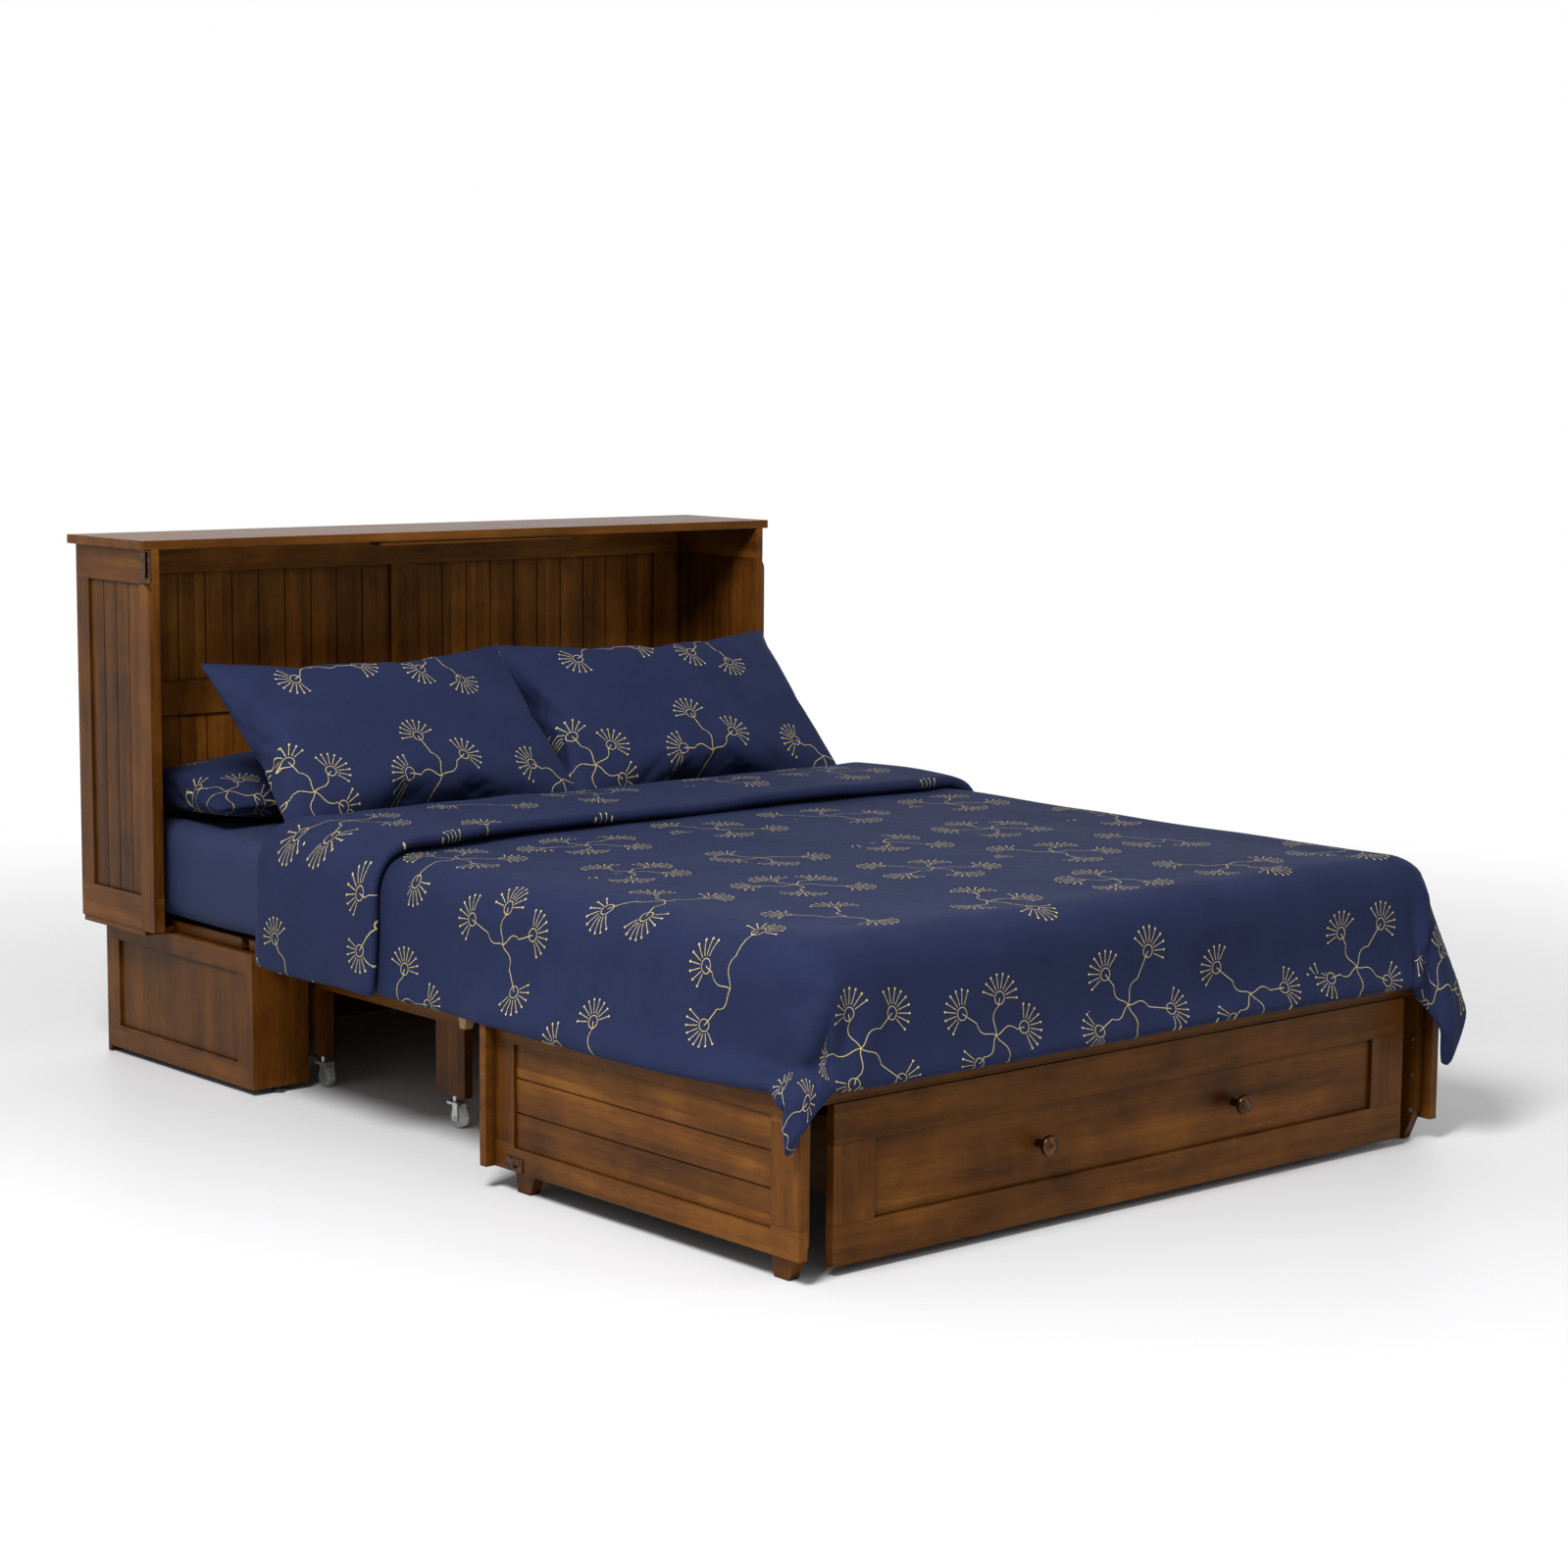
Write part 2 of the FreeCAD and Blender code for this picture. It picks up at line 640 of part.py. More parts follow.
def pillow(x, y, z, lean, thick):
    """Soft block; lean is the turn about X from lying flat."""
    block = doc.addObject("Part::Box", "PillowBlock")
    block.setExpression("Length", bound("pillow_wide"))
    block.setExpression("Width", bound("pillow_tall"))
    block.Height = thick
    soft = rounded(block, thick * 0.42)
    soft.Placement = FreeCAD.Placement(V(x, y, z), FreeCAD.Rotation(V(1, 0, 0), lean))
    return soft


MATTRESS_TOP = size("deck_low") + size("deck_thick") + 0.5 + size("mattress_high")
for hand, x in (("left", -668), ("right", 48)):
    node(pillow(x, -610, MATTRESS_TOP + 4, 50, 110), f"front_pillow_{hand}")
node(group(*[pillow(x, -448, MATTRESS_TOP + 2, 0, 112) for x in (-735, 45)]), "back_pillows")


def duvet():
    """Cover over the foot two thirds: a top, two hanging sides and a hanging foot."""
    top = MATTRESS_TOP + size("duvet_thick")
    outer = box("- duvet_half", "- duvet_foot", "duvet_hem", "2 * duvet_half", "duvet_foot - duvet_head",
                top - size("duvet_hem"))
    over_mattress = box("- mattress_half - 2", "- mattress_foot - 2", 300, "2 * ( mattress_half + 2 )", 2000,
                        MATTRESS_TOP + 0.6 - 300)
    past_frame = box(-824, -2400, 0, 1648, 2200, 314)
    foot_hem = box("- duvet_half - 1", -2400, 0, "2 * ( duvet_half + 1 )", 114, 328)
    return cut(outer, over_mattress, past_frame, foot_hem)


node(duvet(), "duvet")


# ---------------------------------------------------------------- check and write
doc.recompute()
for item in doc.Objects:
    if "Invalid" in item.State or "Error" in item.State:
        raise RuntimeError(f"{item.Label} failed: {item.State}")
for item in NODES:
    if item.Shape.isNull() or not item.Shape.isValid() or not item.Shape.Solids:
        raise RuntimeError(f"{item.Label} has no sound shape")
os.makedirs("parts", exist_ok=True)
for item in NODES:
    item.Shape.exportStep(f"parts/{item.Label}.step")
print(len(NODES), "nodes written")
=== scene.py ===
"""Looks of the open wall bed: stained wood, dark metal fittings and soft bedding."""
import math

import bmesh
import bpy
from mathutils import Matrix, Vector, noise


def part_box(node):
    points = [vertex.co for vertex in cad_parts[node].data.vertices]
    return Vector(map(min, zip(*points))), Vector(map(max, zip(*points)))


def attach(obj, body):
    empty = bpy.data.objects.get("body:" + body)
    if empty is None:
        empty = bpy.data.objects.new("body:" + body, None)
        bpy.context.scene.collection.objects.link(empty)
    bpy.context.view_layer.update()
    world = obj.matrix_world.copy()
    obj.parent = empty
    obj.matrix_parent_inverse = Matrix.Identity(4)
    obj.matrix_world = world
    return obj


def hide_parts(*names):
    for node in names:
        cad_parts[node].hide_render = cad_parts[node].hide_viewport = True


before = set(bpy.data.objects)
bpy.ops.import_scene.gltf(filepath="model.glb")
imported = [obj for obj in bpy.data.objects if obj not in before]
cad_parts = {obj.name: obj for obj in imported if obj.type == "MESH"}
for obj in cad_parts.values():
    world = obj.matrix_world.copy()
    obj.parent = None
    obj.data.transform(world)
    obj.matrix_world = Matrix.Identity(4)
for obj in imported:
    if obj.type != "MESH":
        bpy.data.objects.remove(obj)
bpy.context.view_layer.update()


# ---------------------------------------------------------------- node tree helpers
def set_all(target, **values):
    for key, value in values.items():
        setattr(target, key, value)


class Tree:
    """Short calls for building one material."""

    def __init__(self, name):
        self.material = bpy.data.materials.new(name)
        self.material.use_nodes = True
        self.nodes = self.material.node_tree.nodes
        self.links = self.material.node_tree.links
        self.shader = self.nodes["Principled BSDF"]

    def put(self, socket, value):
        """Link a socket to an input, or set the input's value."""
        if isinstance(value, bpy.types.NodeSocket):
            self.links.new(value, socket)
        else:
            socket.default_value = value

    def add(self, kind, inputs=(), **settings):
        made = self.nodes.new("ShaderNode" + kind)
        set_all(made, **settings)
        for key, value in dict(inputs).items():
            self.put(made.inputs[key], value)
        return made

    def math(self, operation, *values):
        made = self.nodes.new("ShaderNodeMath")
        made.operation = operation
        for index, value in enumerate(values):
            self.put(made.inputs[index], value)
        return made.outputs[0]

    def total(self, *values):
        result = values[0]
        for value in values[1:]:
            result = self.math("ADD", result, value)
        return result

    def product(self, *values):
        result = values[0]
        for value in values[1:]:
            result = self.math("MULTIPLY", result, value)
        return result

    def between(self, value, low, high):
        """1 where the value is from low to high."""
        return self.product(self.math("GREATER_THAN", value, low),
                            self.math("LESS_THAN", value, high))

    def smooth(self, value, low, high):
        """Goes from 1 below low to 0 above high."""
        made = self.add("MapRange", {"Value": value, "From Min": low, "From Max": high,
                                     "To Min": 1.0, "To Max": 0.0})
        return made.outputs[0]

    def mix(self, factor, first, second):
        made = self.nodes.new("ShaderNodeMix")
        made.data_type = "RGBA"
        self.put(made.inputs[0], factor)
        self.put(made.inputs[6], first)
        self.put(made.inputs[7], second)
        return made.outputs[2]

    def noise(self, vector, scale, detail=4.0, rough=0.55):
        made = self.add("TexNoise", {"Vector": vector, "Scale": scale, "Detail": detail,
                                     "Roughness": rough})
        return made.outputs["Fac"]

    def place(self):
        """The object's own coordinates as a vector and as three numbers."""
        vector = self.add("TexCoord").outputs["Object"]
        parts = self.add("SeparateXYZ", {"Vector": vector})
        return vector, list(parts.outputs)

    def surface(self, **inputs):
        for key, value in inputs.items():
            self.put(self.shader.inputs[key.replace("_", " ")], value)
        return self.material


# ---------------------------------------------------------------- wood
# Dark, middle and light colour of the grain.
STAINED_WOOD = ((0.026, 0.0075, 0.0016), (0.098, 0.033, 0.0046), (0.215, 0.080, 0.0105))
PALE_WOOD = ((0.30, 0.17, 0.08), (0.42, 0.26, 0.13), (0.52, 0.34, 0.18))
# Dark colour for the seams between rails and stiles, and for painted shade in grooves and hollows.
SEAM_AND_HOLLOW_SHADE = (0.012, 0.004, 0.001, 1)
ALONG_GRAIN, ACROSS_GRAIN = 1.6, 24.0
SEAM_HALF = 0.0006


def wood(name, grain, planks=None, cross=None, zones=(), tone=1.0, pale=False):
    """Stained boards, with shade painted into their grooves and hollows.

    planks is (axis, start, pitch); in the zones the grain runs along cross instead.
    """
    t = Tree(name)
    vector, parts = t.place()

    def scales(axis):
        return [ALONG_GRAIN if i == "XYZ".index(axis) else ACROSS_GRAIN for i in range(3)]

    stretch = scales(grain)
    seam = 0.0

    def zoned(grow):
        """1 in the zones, made larger all round by grow."""
        found = []
        for zone in zones:
            steps = [t.between(parts["XYZ".index(axis)], low - grow, high + grow)
                     for axis, low, high in zone]
            found.append(t.product(*steps))
        return t.math("MAXIMUM", *found) if len(found) == 2 else found[0]

    if cross:
        mask = zoned(0.0)
        seam = t.math("SUBTRACT", zoned(SEAM_HALF), zoned(-SEAM_HALF))
        stretch = [t.total(t.product(mask, b - a), a)
                   for a, b in zip(scales(grain), scales(cross))]
    shade = 0.5
    shift = 0.0
    if planks:
        axis, start, pitch = planks
        from_start = t.math("SUBTRACT", parts["XYZ".index(axis)], start)
        number = t.math("FLOOR", t.math("DIVIDE", from_start, pitch))
        lot = t.add("TexWhiteNoise", {"W": number}, noise_dimensions="1D").outputs["Value"]
        shade = lot
        shift = t.product(lot, 9.0)
    elif cross:
        shade = t.total(0.35, t.product(mask, 0.3))
        shift = t.product(mask, 7.0)
    along = [t.total(t.product(p, s), shift) for p, s in zip(parts, stretch)]
    made = t.add("CombineXYZ", {0: along[0], 1: along[1], 2: along[2]}).outputs[0]
    broad = t.noise(made, 1.0, 5.0, 0.6)
    fine = t.noise(made, 7.0, 3.0, 0.7)
    blotch = t.noise(vector, 7.0, 5.0, 0.6)
    amount = t.total(t.product(broad, 0.9), t.product(fine, 0.35), t.product(blotch, 0.75),
                     t.product(shade, 0.24), -0.70)
    dark, middle, light = [tuple(c * tone for c in colour) + (1,)
                           for colour in (PALE_WOOD if pale else STAINED_WOOD)]
    ramp = t.add("ValToRGB", {"Fac": amount})
    ramp.color_ramp.elements[0].position = 0.12
    ramp.color_ramp.elements[0].color = dark
    ramp.color_ramp.elements[1].position = 0.88
    ramp.color_ramp.elements[1].color = light
    ramp.color_ramp.elements.new(0.5).color = middle
    bevel = t.add("Bevel", {"Radius": 0.0014}, samples=4).outputs[0]
    # Painted shade: grooves, corners and hollows that the occlusion node finds are darkened in the
    # colour; the seam lines are dark joints.
    hollow = t.add("AmbientOcclusion", {"Distance": 0.016}, samples=6).outputs["AO"]
    shade_in_hollows = t.smooth(hollow, 0.45, 0.95)
    darkened = t.math("MAXIMUM", t.product(shade_in_hollows, 0.72), t.product(seam, 0.7))
    colour = t.mix(darkened, ramp.outputs[0], SEAM_AND_HOLLOW_SHADE)
    pores = t.noise(made, 26.0, 2.0, 0.6)
    bump = t.add("Bump", {"Height": pores, "Strength": 0.16, "Distance": 0.0006,
                          "Normal": bevel})
    rough = t.total(0.27, t.product(blotch, 0.18), t.product(shade_in_hollows, 0.2))
    return t.surface(Base_Color=colour, Roughness=rough, Normal=bump.outputs[0],
                     Specular_IOR_Level=0.16, Specular_Tint=(1.0, 0.62, 0.28, 1))


def dress(names, material):
    for name in names.split():
        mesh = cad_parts[name].data
        mesh.materials.clear()
        mesh.materials.append(material)


def ends(name, axis, wide):
    """The zones at the low and high end of a node along an axis, as wide as its rails."""
    low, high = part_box(name)
    index = "XYZ".index(axis)
    return [[(axis, low[index] - 0.01, low[index] + wide)],
            [(axis, high[index] - wide, high[index] + 0.01)]]


dress("rear_top top_finger_strip", wood("wood_top", "X", tone=1.1))
dress("base_back_board drawer_unit_cornice leg_frame_cross_rails front_top",
      wood("wood_long", "X"))
dress("side_frames",
      wood("wood_side_frames", "Z", cross="Y", zones=ends("side_frames", "Z", 0.07)))
dress("side_panels", wood("wood_side_panels", "Z", planks=("Y", 0.0, 0.05), tone=0.9))
dress("side_battens base_return_boards leg_boards", wood("wood_upright", "Z"))
dress("headboard_frame",
      wood("wood_headboard", "Z", cross="X", zones=ends("headboard_frame", "Z", 0.07), tone=1.7))
dress("headboard_panels",
      wood("wood_headboard_panels", "Z", planks=("X", 0.0, 0.066), tone=1.8))
dress("base_side_frames",
      wood("wood_base_frames", "Z", cross="Y", zones=ends("base_side_frames", "Z", 0.042)))
dress("base_side_panels", wood("wood_base_panels", "Z", tone=0.85))
dress("side_ledges drawer_unit_carcass head_deck_frame middle_deck_frame",
      wood("wood_lengthwise", "Y"))
dress("leg_frame_sides", wood("wood_legs", "Z", cross="Y", zones=[[("Z", 0.2, 0.4)]]))
dress("front_side_frames",
      wood("wood_front_frames", "Z", cross="Y", zones=ends("front_side_frames", "Z", 0.05)))
dress("front_side_boards", wood("wood_front_boards", "Y", planks=("Z", 0.042, 0.062)))
dress("front_face_frame", wood("wood_face_frame", "Y"))
dress("front_face_panels", wood("wood_face_panels", "Y", planks=("X", 0.0, 0.062)))
between_rails = ("Z", 0.083, 0.215)
stiles = [[between_rails, ("X", -0.8, -0.624)], [between_rails, ("X", 0.624, 0.8)]]
dress("drawer_front_frame", wood("wood_drawer_frame", "X", cross="Z", zones=stiles, tone=1.1))
dress("drawer_front_panel", wood("wood_drawer_panel", "X", tone=1.1))
dress("drawer_box head_deck_slats middle_deck_slats middle_deck_blocks",
      wood("wood_pale", "X", pale=True))


# ---------------------------------------------------------------- metal and plastic
def metal(name, colour, worn, rough):
    """Metal with rubbed patches and fine scratches."""
    t = Tree(name)
    vector, _ = t.place()
    patch = t.noise(vector, 90.0, 4.0, 0.6)
    grime = t.noise(vector, 700.0, 2.0, 0.5)
    tint = t.mix(t.smooth(patch, 0.62, 0.4), worn, colour)
    bevel = t.add("Bevel", {"Radius": 0.0006}, samples=4).outputs[0]
    bump = t.add("Bump", {"Height": grime, "Strength": 0.1, "Distance": 0.0002,
                          "Normal": bevel})
    return t.surface(Base_Color=tint, Metallic=1.0, Normal=bump.outputs[0],
                     Roughness=t.total(rough, t.product(patch, 0.18)))


def plastic(name, colour, through=0.0, rough=0.35):
    """Moulded plastic, clouded a little; through is the share of light that passes."""
    t = Tree(name)
    vector, _ = t.place()
    cloud = t.noise(vector, 120.0, 3.0, 0.5)
    darker = tuple(0.75 * c for c in colour[:3]) + (1,)
    bump = t.add("Bump", {"Height": cloud, "Strength": 0.08, "Distance": 0.0003})
    return t.surface(Base_Color=t.mix(cloud, darker, colour), Transmission_Weight=through,
                     Roughness=t.total(rough, t.product(cloud, 0.15)), Normal=bump.outputs[0])


bronze = metal("aged_bronze", (0.045, 0.024, 0.014, 1), (0.14, 0.065, 0.035, 1), 0.22)
steel = metal("zinc_steel", (0.52, 0.52, 0.53, 1), (0.66, 0.65, 0.63, 1), 0.26)
clear = plastic("clear_plastic", (0.86, 0.87, 0.86, 1), through=0.72, rough=0.12)
black = plastic("black_plastic", (0.02, 0.02, 0.021, 1))
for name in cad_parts:
    if name.startswith(("drawer_knobs", "latch_plates", "latch_keepers", "latch_lever")):
        dress(name, bronze)
    elif name.startswith("caster_wheel"):
        dress(name, clear)
    elif name.startswith("roller_wheel") or name == "levelers":
        dress(name, black)
    elif name.startswith(("caster_fork", "roller_brackets", "slide_rails", "fold_hinge",
                          "leg_board_screws")):
        dress(name, steel)


# ---------------------------------------------------------------- fabric
NAVY = (0.0085, 0.0120, 0.036, 1)
NAVY_LIGHT = (0.0180, 0.0250, 0.068, 1)
SHEET = (0.018, 0.024, 0.056, 1)
SHEET_LIGHT = (0.028, 0.037, 0.086, 1)
SPRIG_THREAD = (0.60, 0.48, 0.19, 1)
WEAVE_PITCH = 0.0011


def fabric(name, deep, raised, sprigs, coordinates):
    """Fine cotton weave; sprigs adds thin-line clusters of spoke fans with dotted tips."""
    t = Tree(name)
    source = t.add("TexCoord").outputs[coordinates]
    parts = t.add("SeparateXYZ", {"Vector": source}).outputs
    u, v = parts[0], parts[1]
    thread_u = t.math("SINE", t.product(u, 2 * math.pi / WEAVE_PITCH))
    thread_v = t.math("SINE", t.product(v, 2 * math.pi / WEAVE_PITCH))
    weave = t.product(thread_u, thread_v)
    cloud = t.noise(source, 9.0, 4.0, 0.6)
    slub = t.noise(source, 420.0, 2.0, 0.6)
    colour = t.mix(t.total(t.product(cloud, 0.7), t.product(slub, 0.3)), deep, raised)
    height = t.total(t.product(weave, 0.25), t.product(slub, 0.6))
    if sprigs:
        line = sprig_lines(t, u, v)
        cover = t.product(line, t.total(0.62, t.product(slub, 0.5)))
        colour = t.mix(cover, colour, SPRIG_THREAD)
        height = t.total(height, t.product(line, 1.4))
    creases = t.noise(source, 26.0, 3.0, 0.45)
    soft = t.add("Bump", {"Height": creases, "Strength": 0.22, "Distance": 0.006}).outputs[0]
    bump = t.add("Bump", {"Height": height, "Strength": 0.22, "Distance": 0.0003,
                          "Normal": soft})
    return t.surface(Base_Color=colour, Roughness=0.78, Normal=bump.outputs[0],
                     Sheen_Weight=0.05, Sheen_Roughness=0.4,
                     Sheen_Tint=(0.35, 0.42, 0.75, 1), Specular_IOR_Level=0.08)


def sprig_lines(t, u, v, pitch=0.31, arms=5, reach=0.040, line=0.00065):
    """A cluster per cell: stems curve out from the middle, each with a fan of dotted spokes."""
    jitter = 0.03
    row = t.math("FLOOR", t.math("DIVIDE", v, pitch))
    stagger = t.product(t.math("MODULO", t.math("ABSOLUTE", row), 2.0), pitch * 0.5)
    moved = t.total(u, stagger)
    column = t.math("FLOOR", t.math("DIVIDE", moved, pitch))
    cell = t.add("CombineXYZ", {0: row, 1: column, 2: 0.5}).outputs[0]
    lot = t.add("TexWhiteNoise", {"Vector": cell}, noise_dimensions="3D")
    chance = t.add("SeparateXYZ", {"Vector": lot.outputs["Color"]}).outputs
    x = t.total(moved, t.product(column, -pitch), -pitch / 2,
                t.product(t.total(chance[0], -0.5), jitter))
    y = t.total(v, t.product(row, -pitch), -pitch / 2,
                t.product(t.total(chance[1], -0.5), jitter))

    # Which arm a point belongs to; the stems bend only near the middle.
    out = t.math("SQRT", t.total(t.product(x, x), t.product(y, y)))
    bend = t.product(t.math("SINE", t.product(t.math("MINIMUM", out, 0.05), 60.0)), 0.38)
    one_turn, two_turns = 6.283, 12.566
    turn = t.total(t.math("ARCTAN2", y, x), t.product(chance[2], one_turn), bend, two_turns)
    sector = 2 * math.pi / arms
    index = t.math("FLOOR", t.math("DIVIDE", turn, sector))
    local = t.total(turn, t.product(index, -sector), -sector / 2)
    arm_cell = t.add("CombineXYZ", {0: row, 1: column, 2: index}).outputs[0]
    arm = t.add("TexWhiteNoise", {"Vector": arm_cell}, noise_dimensions="3D").outputs["Value"]

    # The stem, up to the fan's centre.
    fan_centre = t.total(t.product(arm, 0.045), 0.060)
    a = t.product(out, t.math("COSINE", local))
    b = t.product(out, t.math("SINE", local))
    stem = t.product(t.smooth(t.math("ABSOLUTE", b), line * 0.7, line * 1.3),
                     t.math("LESS_THAN", a, fan_centre))

    # The fan: spokes, dots at their tips and a ring round the centre.
    spoke_angle, half_fan = 0.36, 1.5
    ring_radius, spoke_start = 0.011, 0.015
    dot_inner, dot_outer = 0.0015, 0.0024
    c = t.math("SUBTRACT", a, fan_centre)
    spread = t.math("SQRT", t.total(t.product(c, c), t.product(b, b)))
    angle = t.math("ARCTAN2", b, c)
    nearest = t.product(t.math("ROUND", t.math("DIVIDE", angle, spoke_angle)), spoke_angle)
    side = t.product(spread, t.math("ABSOLUTE", t.math("SUBTRACT", angle, nearest)))
    in_fan = t.math("LESS_THAN", t.math("ABSOLUTE", angle), half_fan)
    spokes = t.product(t.smooth(side, line * 0.55, line * 1.1),
                       t.between(spread, spoke_start, reach), in_fan)
    tip = t.math("SUBTRACT", spread, reach)
    from_dot = t.math("SQRT", t.total(t.product(tip, tip), t.product(side, side)))
    dots = t.product(t.smooth(from_dot, dot_inner, dot_outer), in_fan)
    ring = t.smooth(t.math("ABSOLUTE", t.math("SUBTRACT", spread, ring_radius)),
                    line * 0.6, line * 1.2)

    left_out = 0.14
    shown = t.math("GREATER_THAN", t.math("FRACT", t.product(arm, 7.0)), left_out)
    drawn = t.math("MAXIMUM", t.math("MAXIMUM", stem, spokes), t.math("MAXIMUM", dots, ring))
    return t.product(shown, drawn)


duvet_cloth = fabric("duvet_cotton", NAVY, NAVY_LIGHT, True, "UV")
pillow_cloth = fabric("pillow_cotton", NAVY, NAVY_LIGHT, True, "Object")
sheet_cloth = fabric("sheet_cotton", SHEET, SHEET_LIGHT, False, "Object")


# ---------------------------------------------------------------- mesh helpers
def shade_smooth(mesh, smooth=True):
    mesh.polygons.foreach_set("use_smooth", [smooth] * len(mesh.polygons))


def link_mesh(name, mesh, material, smooth=True):
    """Put a mesh in the scene as an object."""
    obj = bpy.data.objects.new(name, mesh)
    bpy.context.scene.collection.objects.link(obj)
    shade_smooth(mesh, smooth)
    if material:
        mesh.materials.append(material)
    return obj


def new_object(name, vertices, faces, material, smooth=True):
    mesh = bpy.data.meshes.new(name)
    mesh.from_pydata([tuple(v) for v in vertices], [], faces)
    mesh.update()
    return link_mesh(name, mesh, material, smooth)


def from_bmesh(name, made, material):
    mesh = bpy.data.meshes.new(name)
    made.to_mesh(mesh)
    made.free()
    return link_mesh(name, mesh, material)


def apply_all(obj):
    """The mesh as its modifiers leave it."""
    depsgraph = bpy.context.evaluated_depsgraph_get()
    mesh = bpy.data.meshes.new_from_object(obj.evaluated_get(depsgraph))
    obj.modifiers.clear()
    obj.data = mesh
    shade_smooth(mesh)


def soft_block(name, low, high, radius, step, material):
    """A box with round edges and evenly spaced vertices."""
    size = high - low
    centre = (low + high) / 2
    half = size / 2
    counts = [max(2, round(s / step)) for s in size]
    made = bmesh.new()
    index = {}
    for i in range(counts[0] + 1):
        for j in range(counts[1] + 1):
            for k in range(counts[2] + 1):
                if i in (0, counts[0]) or j in (0, counts[1]) or k in (0, counts[2]):
                    share = Vector(m / c * 2 - 1 for m, c in zip((i, j, k), counts))
                    p = Vector(share[n] * half[n] for n in range(3))
                    inner = Vector(max(-(half[n] - radius), min(half[n] - radius, p[n]))
                                   for n in range(3))
                    away = p - inner
                    if away.length > 1e-9:
                        p = inner + away.normalized() * radius
                    index[i, j, k] = made.verts.new(p + centre)
    for axis in range(3):
        one, two = [n for n in range(3) if n != axis]
        for end in (0, counts[axis]):
            for i in range(counts[one]):
                for j in range(counts[two]):
                    corners = []
                    for di, dj in ((0, 0), (1, 0), (1, 1), (0, 1)):
                        key = [0, 0, 0]
                        key[axis], key[one], key[two] = end, i + di, j + dj
                        corners.append(index[tuple(key)])
                    made.faces.new(corners)
    bmesh.ops.recalc_face_normals(made, faces=made.faces)
    return from_bmesh(name, made, material)


def step_frames(last):
    for number in range(1, last + 1):
        bpy.context.scene.frame_set(number)


# ---------------------------------------------------------------- mattress
mattress_low, mattress_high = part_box("mattress")
top_z = mattress_high.z
mattress = soft_block("mattress_with_sheet", mattress_low, mattress_high, 0.045, 0.022,
                      sheet_cloth)
for vertex in mattress.data.vertices:
    p = vertex.co
    stretched = Vector((p.x * 1.5, p.y * 9.0, p.z * 14.0))
    wave = noise.noise(p * 3.1) * 0.0035 + noise.noise(stretched) * 0.0018
    near_base = max(0.0, 1.0 - abs(p.z - mattress_low.z) / 0.06)
    vertex.co = p + vertex.normal * (wave - 0.0035 - 0.004 * near_base)
mattress.data.update()
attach(mattress, "bedding")
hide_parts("mattress")


# ---------------------------------------------------------------- pillows
PILLOW_GRID = 0.012


def filled_pillow(name, wide, tall, thick, seed):
    """Two sewn layers blown up by their filling, lying flat round the origin."""
    half_x, half_y = wide / 2, tall / 2
    columns, rows = round(wide / PILLOW_GRID), round(tall / PILLOW_GRID)
    made = bmesh.new()
    layers = []
    for sign in (-1, 1):
        grid = []
        for j in range(rows + 1):
            line = []
            for i in range(columns + 1):
                s, r = i / columns * 2 - 1, j / rows * 2 - 1
                full = (1 - s ** 4) * (1 - r ** 4)
                lumps = noise.noise(Vector((s * 4, r * 3, seed + sign)))
                z = sign * 0.020 * full + 0.002 * full * lumps
                on_edge = i in (0, columns) or j in (0, rows)
                if sign == 1 and on_edge:
                    line.append(layers[0][j][i])
                else:
                    line.append(made.verts.new((s * half_x, r * half_y, z)))
            grid.append(line)
        layers.append(grid)
    for layer, grid in enumerate(layers):
        for j in range(rows):
            for i in range(columns):
                corners = [grid[j][i], grid[j][i + 1], grid[j + 1][i + 1], grid[j + 1][i]]
                made.faces.new(corners if layer else corners[::-1])
    obj = from_bmesh(name, made, None)
    cloth = obj.modifiers.new("filling", "CLOTH")
    set_all(cloth.settings, quality=6, mass=0.3, tension_stiffness=14,
            compression_stiffness=14, shear_stiffness=6, bending_stiffness=0.35,
            use_pressure=True, uniform_pressure_force=1.6)
    cloth.settings.effector_weights.gravity = 0
    cloth.collision_settings.use_collision = False
    step_frames(20)
    apply_all(obj)
    bpy.context.scene.frame_set(1)
    deep = max(v.co.z for v in obj.data.vertices) - min(v.co.z for v in obj.data.vertices)
    for vertex in obj.data.vertices:
        vertex.co.z *= thick / deep
    return obj


def lay_pillow(name, node_low, node_high, lean, seed, wide, tall, thick,
               turn=0.0, shift=0.0, part=None):
    """A filled pillow set where its CAD block is, flattened where it meets the mattress."""
    clearance, sink, give = 0.004, 0.016, 0.03
    obj = filled_pillow(name, wide, tall, thick, seed)
    centre = (node_low + node_high) / 2
    rotation = (Matrix.Rotation(math.radians(turn), 4, "Z")
                @ Matrix.Rotation(math.radians(lean), 4, "X"))
    inverse = rotation.inverted()
    floor_z = top_z - clearance
    lying = [rotation @ v.co for v in obj.data.vertices]
    lowest = min(p.z for p in lying)
    move = Vector((centre.x + shift, centre.y, node_low.z + clearance - lowest - sink))
    for vertex, p in zip(obj.data.vertices, lying):
        q = p + move
        if q.z < floor_z + give:
            depth = floor_z + give - q.z
            q.z = floor_z + give - give * (1 - math.exp(-depth / give))
        local = inverse @ (q - move)
        bulk = thick * 0.018 * noise.noise(Vector((local.x * 7, local.y * 7, seed)))
        vertex.co = local + vertex.normal * bulk
    obj.data.update()
    obj.matrix_world = Matrix.Translation(move) @ rotation
    smooth = obj.modifiers.new("round", "SUBSURF")
    smooth.levels = smooth.render_levels = 1
    obj.data.materials.append(pillow_cloth)
    shade_smooth(obj.data)
    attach(obj, "bedding")
    if part:
        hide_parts(part)


